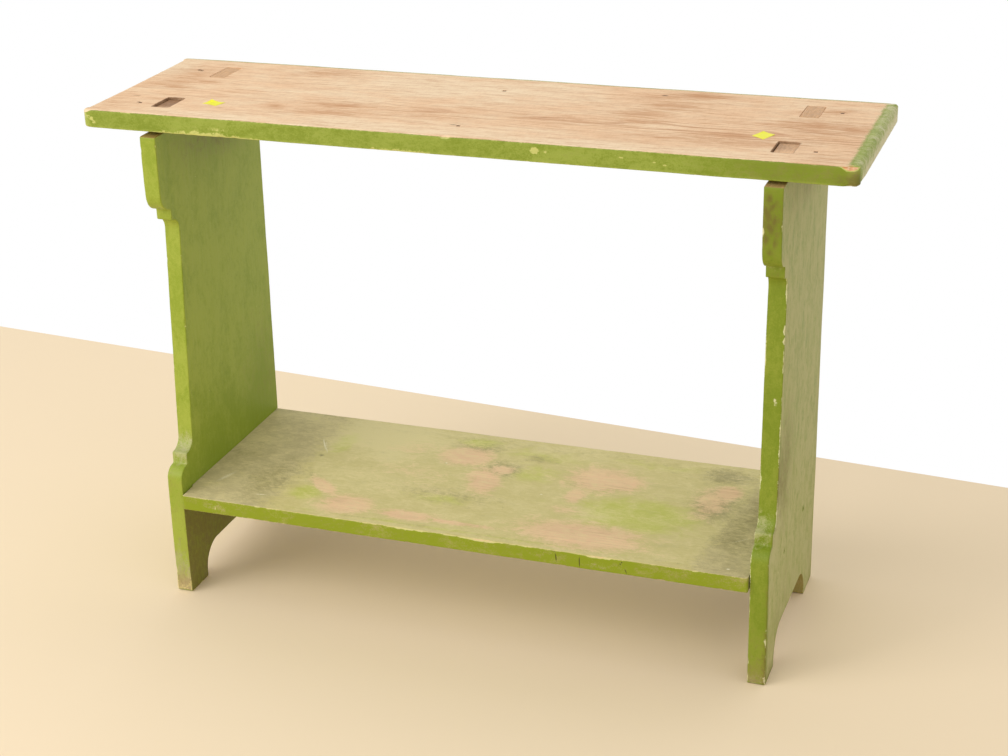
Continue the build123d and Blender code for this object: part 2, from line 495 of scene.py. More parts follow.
# ---------------------------------------------------------------- materials
def tone(red, green, blue):
    """A shader colour from the usual 0 to 255 values."""
    parts = [value / 255 for value in (red, green, blue)]
    return (*[part / 12.92 if part <= 0.04045 else ((part + 0.055) / 1.055) ** 2.4 for part in parts], 1)


class Surface:
    """A material under construction, with short names for its nodes. Lengths are in millimetres."""

    def __init__(self, name):
        self.material = bpy.data.materials.new(name)
        self.material.use_nodes = True
        self.tree = self.material.node_tree
        self.shader = self.tree.nodes["Principled BSDF"]
        coordinates = self.tree.nodes.new("ShaderNodeTexCoord").outputs["Object"]
        self.place = self.vector("MULTIPLY", coordinates, (1000, 1000, 1000))
        self.seeds = 0

    def join(self, socket, value):
        """Links a value to a socket, or sets the socket to a plain number or colour."""
        if isinstance(value, bpy.types.NodeSocket):
            self.tree.links.new(value, socket)
        else:
            socket.default_value = value

    def node(self, kind, joined, **settings):
        """A new shader node with its settings, its sockets joined to values."""
        node = self.tree.nodes.new("ShaderNode" + kind)
        for key, setting in settings.items():
            setattr(node, key, setting)
        for key, value in joined.items():
            self.join(node.inputs[key], value)
        return node

    def vector(self, operation, first, second):
        """The result of one vector operation."""
        return self.node("VectorMath", {0: first, 1: second}, operation=operation).outputs["Vector"]

    def math(self, operation, *values):
        """The result of one operation on numbers."""
        return self.node("Math", dict(enumerate(values)), operation=operation).outputs["Value"]

    def times(self, first, second):
        """The product of two values."""
        return self.math("MULTIPLY", first, second)

    def total(self, *parts):
        """The sum of (value, weight) pairs."""
        result = self.math("MULTIPLY", *parts[0])
        for value, weight in parts[1:]:
            result = self.math("MULTIPLY_ADD", value, weight, result)
        return result

    def field(self, name):
        """A number kept at the mesh's points."""
        return self.node("Attribute", {}, attribute_name=name).outputs["Fac"]

    def scaled(self, size):
        """The place, measured in lengths of that size along x, y and z."""
        return self.vector("MULTIPLY", self.place, tuple(1 / length for length in size))

    def noise(self, size, detail=2.0, rough=0.5, twist=0.0):
        """Smooth random values from 0 to 1 in blots of that size along x, y and z."""
        self.seeds += 1
        shift = (self.seeds * 7.3, self.seeds * 3.1, self.seeds * 5.7)
        place = self.vector("ADD", self.scaled(size), shift)
        joined = {"Vector": place, "Scale": 1.0, "Detail": detail, "Roughness": rough, "Distortion": twist}
        return self.node("TexNoise", joined).outputs["Fac"]

    def cells(self, size):
        """Distance from the nearest of many scattered points, and a random number for each."""
        cells = self.node("TexVoronoi", {"Vector": self.scaled(size), "Scale": 1.0}).outputs
        return cells["Distance"], self.node("SeparateColor", {"Color": cells["Color"]}).outputs["Red"]

    def step(self, value, low, high, start=0.0, end=1.0):
        """start below low and end above high, with a smooth way between them."""
        joined = {"Value": value, "From Min": low, "From Max": high, "To Min": start, "To Max": end}
        return self.node("MapRange", joined, interpolation_type="SMOOTHSTEP").outputs["Result"]

    def mix(self, share, first, second):
        """The second colour over the first."""
        return self.node("Mix", {0: share, 6: first, 7: second}, data_type="RGBA").outputs[2]

    def over(self, under, top, value, low, high, strength=1.0):
        """A colour laid over another one where value rises from low to high."""
        return self.mix(self.step(value, low, high, 0.0, strength), under, top)

    def specks(self, size, radius, share):
        """Round spots of about that radius, in only a share of the cells of that size."""
        distance, chance = self.cells(size)
        wobble = self.noise([length / 4 for length in size], 1)
        edge = radius / max(size)
        near = self.step(self.total((distance, 1.0), (wobble, edge)), edge * 1.1, edge * 1.9, 1.0, 0.0)
        return self.math("MULTIPLY", near, self.step(chance, share, share + 0.01, 1.0, 0.0))

    def finish(self, colour, roughness, height):
        """Joins the results to the shader. height is in millimetres."""
        self.join(self.shader.inputs["Base Color"], colour)
        self.join(self.shader.inputs["Roughness"], roughness)
        self.shader.inputs["Specular IOR Level"].default_value = 0.35
        bump = self.node("Bump", {"Strength": 1.0, "Distance": MM, "Height": height})
        self.join(self.shader.inputs["Normal"], bump.outputs["Normal"])
        return self.material


def along_grain(grain, length, width):
    """A blot's size along x, y and z, when the grain runs along that axis."""
    return tuple(length if axis == grain else width for axis in range(3))


def bare_wood(surface, grain, light, middle, dark):
    """Old unpainted wood with its grain along an axis. Gives its colour and its height."""
    tint = surface.noise(along_grain(grain, 110, 26), 3, 0.6)
    streaks = surface.noise(along_grain(grain, 70, 2.4), 3, 0.6, 0.3)
    fibres = surface.noise(along_grain(grain, 11, 0.45), 2, 0.6)
    pores = surface.noise(along_grain(grain, 5, 0.35), 1)
    colour = surface.over(middle, light, tint, 0.32, 0.68)
    lines = surface.total((surface.step(streaks, 0.50, 0.72), 0.42), (surface.step(fibres, 0.5, 0.8), 0.22))
    colour = surface.mix(lines, colour, dark)
    colour = surface.over(colour, dark, pores, 0.70, 0.82, 0.35)
    height = surface.total((streaks, 0.10), (fibres, 0.07), (pores, -0.06))
    return colour, height


class Paint:
    """The colours of the green paint on one board."""

    def __init__(self, fresh, faded, dust, under, stain, wood):
        self.fresh = tone(*fresh)
        self.faded = tone(*faded)
        self.dust = tone(*dust)
        self.under = tone(*under)
        self.stain = tone(*stain)
        self.wood = [tone(*colour) for colour in wood]


def paint_layer(surface, grain, paint):
    """Old brushed green paint under dust, stains and painted shade. Gives its colour, roughness and height."""
    cloud = surface.noise(along_grain(grain, 60, 36), 5, 0.62, 0.5)
    mottle = surface.noise(along_grain(grain, 9, 6), 4, 0.66, 0.5)
    bands = surface.noise(along_grain(grain, 150, 8), 3, 0.55, 0.3)
    brush = surface.noise(along_grain(grain, 60, 1.5), 3, 0.6, 0.2)
    ridges = surface.noise(along_grain(grain, 45, 4.5), 2, 0.5)
    grit = surface.noise((1.4, 1.4, 1.4), 2, 0.7)
    smear = surface.noise(along_grain(grain, 34, 16), 4, 0.65, 0.6)
    faded = surface.total(
        (surface.field("faded"), 1.0), (cloud, 0.8), (mottle, 0.65), (bands, 0.1), (grit, 0.55)
    )
    colour = surface.mix(surface.step(faded, 1.12, 1.60), paint.fresh, paint.faded)
    dust = surface.total((surface.field("dust"), 1.0), (smear, 0.7), (mottle, 0.6), (bands, 0.2), (grit, 0.5))
    dusty = surface.step(dust, 1.28, 1.72)
    colour = surface.mix(dusty, colour, paint.dust)
    # This darkening also holds painted shade: on the end boards' inner faces and along the shelf's front
    # arris.
    stained = surface.total((surface.field("stain"), 1.0), (cloud, 0.5), (mottle, 1.0), (grit, 0.6))
    colour = surface.over(colour, paint.stain, stained, 1.20, 1.95, 0.8)
    colour = surface.over(colour, paint.stain, brush, 0.56, 0.80, 0.10)
    dark_specks = surface.specks((10, 10, 10), 0.6, 0.4)
    colour = surface.mix(surface.times(dark_specks, 0.45), colour, tone(92, 82, 30))
    pale_specks = surface.specks((23, 23, 23), 0.55, 0.3)
    colour = surface.mix(surface.times(pale_specks, 0.5), colour, paint.under)
    roughness = surface.math("ADD", surface.total((dusty, 0.22), (grit, 0.15)), 0.42)
    height = surface.total((ridges, 0.22), (brush, 0.06), (grit, 0.03), (mottle, 0.06), (cloud, 0.3))
    return colour, roughness, height


def rubbed(surface):
    """Shares of pale undercoat and of bare wood that show where the paint is worn through."""
    blots = surface.noise((9, 9, 9), 4, 0.62, 0.4)
    flecks = surface.noise((2.2, 2.2, 2.2), 3, 0.6)
    arris = surface.step(surface.field("edge"), 0.2, 2.2, 0.20, 0.0)
    level = surface.total(
        (surface.field("bare"), 1.0), (blots, 0.75), (flecks, 0.45), (arris, 1.0),
        (surface.field("chip"), 0.14),
    )
    undercoat = surface.step(surface.math("ADD", level, surface.field("fleck")), 0.90, 1.06)
    wood = surface.step(level, 1.22, 1.34)
    return undercoat, wood


def painted_wood(name, grain, paint):
    """Painted wood whose arrises and worn places show the undercoat and the wood, and its bare end grain."""
    surface = Surface(name)
    colour, roughness, height = paint_layer(surface, grain, paint)
    wood_colour, wood_height = bare_wood(surface, grain, *paint.wood)
    undercoat, wood = rubbed(surface)
    colour = surface.mix(surface.times(undercoat, 0.85), colour, paint.under)
    colour = surface.mix(wood, colour, wood_colour)
    end_rings = surface.noise((2.6, 16, 16), 3, 0.6, 0.4)
    end_pores = surface.noise((0.9, 0.9, 0.9), 2, 0.6)
    hatching = surface.noise((1.3, 12, 12), 2, 0.6, 0.3)
    # The shade field darkens the end grain: painted shade on the tenon tops by the mortise gaps, and a darker
    # tone on the ledges and in the arches.
    end_shade = surface.total(
        (end_rings, 0.3), (end_pores, 0.3), (hatching, 0.6), (surface.field("shade"), 1.0)
    )
    end_colour = surface.mix(surface.step(end_shade, 0.42, 1.6), tone(240, 193, 143), tone(138, 94, 56))
    colour = surface.mix(surface.field("tenon"), colour, end_colour)
    height = surface.total(
        (height, 1.0), (undercoat, -0.10), (wood, -0.12), (surface.times(wood_height, wood), 0.8),
        (surface.times(end_shade, surface.field("tenon")), -0.2),
    )
    roughness = surface.math("MULTIPLY_ADD", wood, 0.15, roughness)
    return surface.finish(colour, roughness, height)


def annual_rings(surface, middle_y, depth, rise):
    """Growth rings, from 0 to 1, on a board's face with its heart line at that depth, sinking along x."""
    wave = surface.noise((220, 60, 60), 2, 0.5)
    ripple = surface.noise((26, 9, 9), 2, 0.5)
    at = surface.node("SeparateXYZ", {"Vector": surface.place}).outputs
    across = surface.total((at["Y"], 1.0), (wave, 12.0), (ripple, 1.6))
    across = surface.math("SUBTRACT", across, middle_y + 6.8)
    below = surface.math("SUBTRACT", at["Z"], cad_high[2] / MM - depth)
    under = surface.total((at["X"], rise), (below, 1.0), (wave, 8.0))
    radius = surface.math("SQRT", surface.total((across, across), (under, under)))
    return surface.step(surface.math("SINE", surface.times(radius, math.tau / 2.3)), 0.35, 1.0)


def worn_top_wood(name, paint):
    """Scrubbed bare wood on the face, and green paint round the edges."""
    surface = Surface(name)
    light, middle, dark = (tone(*colour) for colour in ((255, 229, 190), (251, 212, 169), (188, 128, 84)))
    brown = tone(208, 154, 106)
    tint = surface.noise((70, 30, 30), 4, 0.62, 0.4)
    smoke = surface.noise((42, 11, 11), 5, 0.66, 0.7)
    mottle = surface.noise((9, 5, 5), 4, 0.65, 0.5)
    pale = surface.total((tint, 1.0), (surface.field("pale"), 0.4), (mottle, 0.45))
    colour = surface.over(middle, light, pale, 0.55, 1.10)
    streaks = surface.noise((60, 2.2, 2.2), 3, 0.62, 0.3)
    threads = surface.noise((26, 1.1, 1.1), 3, 0.65, 0.3)
    fibres = surface.noise((13, 0.7, 0.7), 2, 0.6)
    blotch = surface.total(
        (surface.field("brown"), 0.48), (smoke, 0.5), (mottle, 0.35), (streaks, 1.0), (threads, 0.9),
        (fibres, 0.5),
    )
    colour = surface.over(colour, brown, blotch, 1.46, 2.26)
    rings = annual_rings(surface, -19.0, 55.0, 0.012)
    curl = surface.noise((3.2, 12, 12), 2, 0.5, 0.5)
    pores = surface.noise((6, 0.5, 0.5), 1)
    broken = surface.step(streaks, 0.3, 0.62, 0.3, 1.0)
    lines = surface.times(rings, surface.times(surface.field("grain"), broken))
    colour = surface.mix(surface.times(lines, 0.55), colour, dark)
    fine = surface.total(
        (surface.step(streaks, 0.48, 0.75), 0.17), (surface.step(threads, 0.48, 0.72), 0.20),
        (surface.step(fibres, 0.46, 0.8), 0.17),
    )
    colour = surface.mix(fine, colour, dark)
    colour = surface.over(colour, brown, curl, 0.46, 0.70, 0.12)
    colour = surface.over(colour, dark, pores, 0.66, 0.80, 0.35)
    # Dirty marks and nail stains, with painted shade in and round the mortises and the nail pockets, darken
    # the wood.
    dirt_and_shade = surface.total((surface.field("grime_and_shade"), 1.0), (smoke, 0.4), (mottle, 0.35))
    colour = surface.over(colour, tone(124, 84, 50), dirt_and_shade, 0.62, 1.20, 0.9)
    dents = surface.specks((31, 31, 31), 1.1, 0.3)
    colour = surface.mix(surface.times(dents, 0.3), colour, dark)
    wood_height = surface.total(
        (streaks, 0.12), (fibres, 0.07), (pores, -0.08), (lines, -0.05), (dents, -0.15), (curl, 0.012),
        (dirt_and_shade, -0.06),
    )

    paint_colour, _, paint_height = paint_layer(surface, 0, paint)
    undercoat, worn = rubbed(surface)
    paint_colour = surface.mix(surface.times(undercoat, 0.8), paint_colour, paint.under)
    torn_wood = surface.mix(surface.step(threads, 0.35, 0.65, 0.25, 0.8), colour, tone(206, 128, 62))
    paint_colour = surface.mix(worn, paint_colour, torn_wood)
    ragged = surface.total((surface.noise((9, 9, 9), 4, 0.62), 0.6), (surface.noise((1.8, 1.8, 1.8), 2), 0.8))
    cover = surface.step(surface.total((surface.field("paint"), 1.0), (ragged, 0.8)), 0.70, 1.30)
    tinge = surface.step(surface.total((surface.field("tinge"), 1.0), (ragged, 0.7)), 0.60, 1.5, 0.0, 0.9)
    colour = surface.mix(tinge, colour, tone(172, 182, 112))
    colour = surface.mix(cover, colour, paint_colour)
    height = surface.total((wood_height, 1.0), (cover, paint_height), (cover, 0.12), (undercoat, -0.06))
    roughness = surface.math("ADD", surface.total((fibres, 0.2), (cover, -0.10)), 0.58)
    return surface.finish(colour, roughness, height)


def rusty_iron(name):
    """Brown iron with darker pits."""
    surface = Surface(name)
    bloom = surface.noise((2.4, 2.4, 2.4), 4, 0.65)
    pits = surface.noise((0.6, 0.6, 0.6), 3, 0.7)
    colour = surface.mix(surface.step(bloom, 0.35, 0.7), tone(74, 52, 38), tone(128, 80, 50))
    colour = surface.over(colour, tone(34, 26, 22), pits, 0.55, 0.75, 0.6)
    height = surface.total((pits, 0.12), (bloom, 0.1))
    return surface.finish(colour, surface.step(bloom, 0.3, 0.8, 0.6, 0.85), height)


def label_paper(name):
    """Yellow paper, a little creased and worn."""
    surface = Surface(name)
    fibre = surface.noise((1.2, 0.5, 0.5), 3, 0.6)
    crease = surface.noise((9, 4, 4), 2, 0.5)
    colour = surface.mix(surface.step(fibre, 0.4, 0.75, 0.0, 0.35), tone(250, 246, 52), tone(238, 228, 40))
    colour = surface.over(colour, tone(224, 210, 60), crease, 0.6, 0.75, 0.3)
    roughness = surface.step(fibre, 0.3, 0.8, 0.45, 0.6)
    return surface.finish(colour, roughness, surface.total((fibre, 0.02), (crease, 0.06)))


# ---------------------------------------------------------------- the pieces
def edge_fields(board):
    """What every board's material reads: distance from the arris, chips, and no pale flecks as yet."""
    edge = np.where(board.hole, 20, np.minimum(np.abs(board.wrap), np.abs(board.wrap - board.thickness)))
    return {"edge": edge, "chip": board.chip, "fleck": np.zeros(len(edge))}


def top_paint_fields(board, x, y, half, front, back):
    """Where green paint lies on the top board, and how faded, dusty, stained and chipped it is."""
    at_right = ease(x, half - 14, half - 2)
    at_left = ease(-x, half - 14, half - 2)
    at_back = ease(y, back - 14, back - 2) * (1 - at_right) * (1 - at_left)
    line = -0.5 + 3.0 * at_left - 2.6 * at_back
    softness = 1.4 + 1.6 * at_left + 0.4 * at_back
    on_front = (y < front + 6) & (board.wrap > -3)
    on_face = board.wrap < -1
    beneath = board.wrap > board.thickness - 1
    fields = {}
    cover = np.clip((board.wrap - line) / softness, -1.5, 1.5)
    cover = np.maximum(cover, 1.1 * ease(x, half - 17, half - 5))
    fields["paint"] = np.where(board.hole & ~beneath, -1.5, cover)
    right_veil = 0.8 * ease(x, half - 20, half - 6)
    back_veil = 0.7 * ease(y, back - 8, back - 3)
    left_veil = 0.35 * ease(-x, half - 10, half - 4)
    fields["tinge"] = np.maximum(np.maximum(right_veil, back_veil), left_veil) * on_face
    near_right = ease(x, half - 18, half - 8)
    fields["faded"] = 0.30 + 0.3 * at_left + 0.35 * near_right + 0.2 * beneath - 0.2 * ease(x, 200, 400)
    fields["faded"] -= 0.06 * ease(-x, 340, 420)
    low_corner = patches(x, board.wrap, [(460, 19, 16, 9, 1.0)]) * (y < front + 16)
    end_dust = 0.40 + 0.30 * ease(board.wrap, 4, 20) + 0.1 * ease(y, 0, 90)
    fields["dust"] = 0.02 + end_dust * near_right + 0.4 * at_left + 0.6 * at_back
    fields["dust"] += 0.25 * beneath - 0.5 * low_corner
    fields["stain"] = np.where(on_front, patches(x, board.wrap, [
        (457, 13, 9, 9, 0.55), (0, 11, 900, 60, 0.12), (380, 11, 90, 16, 0.34),
    ]), 0.1 * beneath) + 0.5 * low_corner
    flecks = [
        (-457, 7, 7, 1.2, 0.6, 20), (-452, 12, 9, 1.3, 0.6, 24), (-447, 17, 7, 1.2, 0.5, 20),
        (-405, 1, 9, 1.0, 0.45), (106, 9, 5.5, 3.6, 0.75), (118, 9, 3, 2.2, 0.5), (204, 9, 7, 1.2, 0.5, 15),
        (249, 13, 14, 1.1, 0.5, 12), (446, 14, 5, 3, 0.35), (0, 1, 9, 2.2, 0.45),
        (-301, 20.5, 58, 4.2, 0.46), (-280, 13, 34, 5, 0.3), (-52, 20.5, 40, 3.2, 0.42),
        (-180, 0.5, 300, 1.2, 0.24), (240, 0.5, 200, 1.2, 0.24), (150, 21, 90, 1.6, 0.18),
        (-150, 12, 500, 9, 0.06),
    ]
    fields["fleck"] = np.where(on_front, patches(x, board.wrap, flecks), 0)
    torn = patches(x, board.wrap, [(452, 0.5, 6, 3.0, 1.7)])
    kept = 0.3 * patches(x, board.wrap, [(460, 17, 14, 8, 1.0)])
    fields["bare"] = np.where(on_front, torn - kept, 0.12 * beneath) - 0.35 * at_right * ~on_front
    return fields


def top_wood_fields(board, x, y, marks):
    """The tones, the dirty marks and nail stains, painted shade in and round the mortises, and the growth
    rings of the top board's bare face.
    """
    fields = {}
    fields["pale"] = patches(x, y, [
        (-70, 82, 100, 46, 1.0), (-445, 94, 18, 26, 1.0), (-180, 20, 70, 22, 0.5), (0, -106, 360, 14, 0.8),
        (53, 103, 50, 24, 0.8), (440, -105, 30, 12, 0.7), (-100, -100, 120, 20, 0.9), (60, 60, 60, 26, 0.5),
    ])
    fields["brown"] = patches(x, y, [
        (-410, 60, 24, 32, 0.6), (-411, 12, 26, 15, 0.75), (-376, 34, 16, 6, 0.7), (-440, -80, 26, 34, 0.3),
        (-245, 109, 34, 12, 0.7), (-170, -25, 40, 12, 0.8), (-160, -56, 34, 10, 0.8),
        (-242, -50, 14, 8, 0.7, -30), (-204, -66, 16, 5, 0.7), (-55, -33, 52, 15, 0.4),
        (237, 116, 38, 10, 1.1), (218, 66, 34, 20, 0.8), (187, 25, 30, 16, 0.85), (194, -6, 26, 8, 0.8),
        (314, -37, 42, 9, 0.85), (387, 25, 40, 14, 0.95), (200, 100, 40, 14, 0.6), (430, 20, 26, 18, 0.85),
        (402, 86, 16, 8, 1.0), (110, -24, 70, 9, 0.6), (300, -62, 80, 12, 0.5), (210, -62, 60, 8, 0.3),
        (425, -98, 30, 14, 0.55), (408, 0, 46, 40, 0.5),
    ])
    # Darker round the mortise rims, more at the front, and on the mortise walls: painted shade in the gaps
    # round the tenons.
    rim = board.hole * ease(board.wrap, -1.2, -0.2) * np.where(y < 0, 0.62, 0.3)
    painted_shade_in_holes = 0.6 * (board.hole & (board.wrap > 0.5))
    marks = patches(x, y, marks) * (board.wrap < 0)
    fields["grime_and_shade"] = np.maximum(np.maximum(marks, rim), painted_shade_in_holes)
    fields["grain"] = np.clip(patches(x, y, [
        (90, -28, 330, 30, 0.7), (260, -28, 90, 44, 1.2), (400, -18, 80, 42, 1.4),
        (-300, -20, 120, 20, 0.4),
    ]) + 0.12, 0, 1.3)
    return fields


def top_board(material):
    """The top board: a scrubbed face, painted edges, four mortises and the pockets of six nails."""
    low, high = box_of("top_board")
    middle = (low[2] + high[2]) / 2
    loops = [loop for loop in section_loops("top_board", 2, middle) if span(loop) > SMALLEST_LOOP]
    half, front, back = high[0], low[1], high[1]

    def upper_arris(x, y):
        """How worn the arris is round the upper face, the most at the ends."""
        at_end = ease(np.abs(x), half - 12, half - 1)
        left_middle = at_end * (x < 0) * np.cos(np.clip(y / back, -1, 1) * 1.4)
        return 2.2 + 1.9 * at_end + (1.5 + 2.6 * left_middle) * at_end * (x < 0) + 1.4 * at_end * (x > 0)

    def lower_arris(x, y):
        """The same round the lower face, and more worn at the front right corner."""
        front_right = ease(x, half - 20, half - 1) * ease(-y, -front - 50, -front - 4)
        return 0.9 + 2.0 * ease(np.abs(x), half - 14, half - 1) + 2.2 * front_right

    upper_chips = [(455, front, 12, 1.3), (0, front, 10, 0.9)]
    lower_chips = [(457, front, 20, 1.0)]
    lower_chips += [(x, front, reach, 0.5) for x, reach in (
        (-352, 12), (-331, 8), (-316, 10), (-281, 9), (-262, 8), (-88, 10), (-60, 9), (-29, 9), (96, 7),
        (291, 8),
    )]
    nail_marks = [
        (-411, 84, 6, 3, 1.0, -30), (-411, -72.5, 4, 3, 0.8), (-7, -72, 5, 1.8, 0.8),
        (0, 82, 3.5, 3.5, 0.8), (400, 85, 9, 2.4, 0.35), (408, 85, 3.5, 3, 0.9), (408, -74, 3, 3, 0.7),
    ]
    dirt_marks = [
        (193, 108, 4, 2.6, 0.9), (214, 114, 12, 5, 0.4), (-431, -47, 9, 1.2, 0.75),
        (-304, -72, 6, 1.1, 0.7, 18), (-387, -62, 2.2, 22, 0.6), (-374, -41, 12, 1.8, 0.6),
        (387, -52, 1.6, 24, 0.4), (84, -19, 6, 1.0, 0.55), (104, -19, 8, 1.0, 0.55),
        (125, -19, 6, 1.0, 0.55), (233, -28, 3, 1.6, 0.5),
    ]
    board = Board(
        loops, high[2] - low[2], seed=11, sizes=(upper_arris, lower_arris), nicks=0.15,
        chips=(upper_chips, lower_chips), marks=nail_marks + dirt_marks,
    )
    x, y, depth = board.points.T
    points = np.column_stack([x, y, high[2] - depth])
    points[:, 2] += 0.12 * swell(x, y, 140, board.rng)
    fields = edge_fields(board)
    fields.update(top_paint_fields(board, x, y, half, front, back))
    fields.update(top_wood_fields(board, x, y, nail_marks + dirt_marks))
    piece = make_object("worn_top", points, board.faces, fields)
    clearance = np.array([NAIL_CLEARANCE, NAIL_CLEARANCE, 0])
    pockets = []
    for nail_low, nail_high in separate_boxes("top_nails"):
        floor = np.array([*nail_low[:2], nail_high[2] - TOP_POCKET_DEPTH])
        pockets.append((floor - clearance, nail_high + clearance + (0, 0, CUT_PAST)))
    # The pocket walls read as darker wood: rust marks and painted shade round the nail heads.
    carve(piece, pockets, {"grime_and_shade": 0.5, "paint": -1.5, "edge": 9.0})
    finish_piece(piece, material, "bare_top", "top_board")


def tenon_faces(node, height):
    """Where an end board's tenons begin and end along x, at that height."""
    across = section_loops(node, 2, height)[0][:, 0]
    return across.min(), across.max()


def end_regions(board, y, z):
    """Where an end board's edge, its moulded front edge, its outer face and its inner face are."""
    on_edge = (board.wrap > -0.5) & (board.wrap < board.thickness + 0.5)
    return on_edge, on_edge & (y < -60) & (z > 3), board.wrap < 0, board.wrap > board.thickness


def end_paint_fields(board, left, y, z, shoulder, shelf_low, shelf_high):
    """How faded, dusty, stained and worn the paint is on an end board, with painted shade on its inner face
    under the top board and below the shelf.
    """
    _, front, outside, inside = end_regions(board, y, z)
    below = ease(-z, -shelf_low[2] - 12, -shelf_low[2] + 4)
    near_shelf = ease(-z, -310, -shelf_high[2] - 10) * (1 - below)
    foot = ease(-z, -26, -6)
    head = ease(z, shoulder - 14, shoulder - 2)
    painted_shade_under_top = ease(z, 470, 600)
    tint = 0.36 - 0.12 * ease(z, 490, 540) if left else 0.24
    tint = tint + 0.08 * ease(-z, -190, -110)
    fields = {}
    # On the inner face the green is fresher and darker just above the shelf, and under the top board as
    # painted shade.
    fields["faded"] = np.select([front, inside], [tint, 0.42 - 0.28 * near_shelf - 0.10 * painted_shade_under_top], 0.35)
    outer_dust = 0.5 if left else 0.60
    fields["dust"] = np.select([front, outside, inside], [0.22 * foot - 0.05, outer_dust, 0.3 * below], 0.45)
    ledges = patches(y, z, [(-115, 194, 24, 28, 0.62), (-110, 510, 14, 9, 0.35)])
    fields["dust"] += np.where(front, ledges, 0.5 * ledges)
    # The high patch is painted shade on the inner face under the top board; the low one darkens its back above
    # the shelf.
    inner_stains_and_shade = patches(y, z, [(110, 230, 60, 90, 0.3), (60, 590, 110, 42, 0.75)])
    # Below the shelf the inner face is stained darker, partly as painted shade under the shelf.
    fields["stain"] = np.where(inside, 0.75 * below + inner_stains_and_shade, 0.15 * below + 0.15 * foot)
    fields["stain"] += 0.15 * (outside * ease(y, 100, 138))
    trodden = ease(-z, -120, -30) * front * (1.0 if left else 0.6)
    fields["dust"] += 0.55 * trodden
    fields["stain"] += 0.15 * trodden + 0.12 * ease(-z, -44, -10) * front
    fields["bare"] = 0.10 * foot + (0.20 if left else 0.08) * ease(-z, -44, -14) * front
    fields["fleck"] = 0.08 * ease(-z, -9, -2) + np.where(front, 0.1 * head, 0.05 * head)
    return fields


def end_grain_fields(board, left, x, y, z, shoulder, tenon_low, tenon_high):
    """Where an end board shows its end grain, and how dark it is: painted shade on the tenon tops, deepest by
    the mortise gaps, and darker end grain on the ledges and in the arches.
    """
    on_edge, front, _, _ = end_regions(board, y, z)
    low_ledge = on_edge & (y < -86) & (z > shoulder - 5.2)
    arch = on_edge & (z < 70) & (np.abs(y) < 128)
    scuffed = (0.30 if left else 0.10) * ease(-z, -40, -6) * front
    tenon = np.maximum(ease(z, shoulder - 1.2, shoulder - 0.2), 0.75 * low_ledge + 0.45 * arch + scuffed)
    if left:
        shade = np.where(y < 0, 0.35 + 0.4 * ease(y, -84, -68), 0.25)
    else:
        paler = np.clip(ease(y, -62, -90) + 0.5 * ease(x, tenon_low, tenon_high), 0, 1)
        shade = np.where(y < 0, 0.5 - 0.45 * paler, 0.30)
    return {"tenon": tenon, "shade": shade + 0.45 * (low_ledge | arch)}


def mark_left_end(fields, board, y, z):
    """The left end board's own stained patch, on its plinth."""
    front = end_regions(board, y, z)[1]
    fields["stain"] += np.where(front, patches(y, z, [(-137, 150, 20, 30, 0.3)]), 0)


def mark_right_end(fields, board, y, z):
    """The right end board's own stains, spots and pale chips and streaks."""
    _, front, outside, _ = end_regions(board, y, z)
    far = board.thickness
    low_arris = ease(-z, -330, -240) * ease(-y, 60, 110) * np.exp(-np.abs(board.wrap - 0.5) / 3.0)
    fields["stain"] += 0.4 * low_arris
    fields["dust"] -= 0.4 * low_arris
    fields["stain"] += front * 0.5 * patches(y, z, [(-124, 568, 14, 40, 1.0)])
    fields["stain"] += front * patches(z, board.wrap, [
        (593, 15, 4, 3, 0.5, 20), (585, 11, 6, 2, 0.5, -30), (577, 17, 6, 2, 0.5, 20), (569, 9, 4, 2, 0.4),
        (560, 13, 5, 2.5, 0.5, 30), (548, 17, 5, 2, 0.5), (545, 8, 4, 2, 0.4), (533, 13, 4, 2.5, 0.4),
        (500, 10, 4, 9, 0.4),
    ])
    fields["stain"] += np.where(outside, patches(y, z, [
        (-66, 250, 50, 70, 0.55), (20, 580, 90, 30, 0.5), (-70, 180, 30, 20, 0.3), (-60, 40, 60, 40, 0.2),
    ]), 0)
    fields["fleck"] += front * patches(z, board.wrap, [
        (478, 0.5, 16, 0.8, 0.42), (430, 0.6, 4, 0.9, 0.75), (418, 0.6, 3, 0.9, 0.7),
        (396, 0.5, 18, 0.7, 0.3), (346, 8.0, 6, 2.6, 0.54, 10), (300, 0.5, 34, 0.7, 0.32),
        (205, 9, 30, 14, 0.12), (556, far - 0.6, 4, 0.9, 0.7), (400, far - 0.5, 22, 0.7, 0.34),
        (250, far - 0.5, 14, 0.7, 0.34), (150, far - 0.5, 50, 0.7, 0.24), (60, 2, 20, 1.4, 0.3),
        (30, 12, 14, 8, 0.2),
    ])
    fields["fleck"] += np.where(outside, patches(y, z, [
        (-104, 196, 2.0, 26, 0.42, -12), (-88, 160, 2.4, 30, 0.40, 10), (-69, 151, 7, 5, 0.35),
        (-60, 196, 1.8, 22, 0.42, 4), (-79, 120, 1.6, 26, 0.38), (-50, 330, 1.6, 40, 0.34),
    ]), 0)


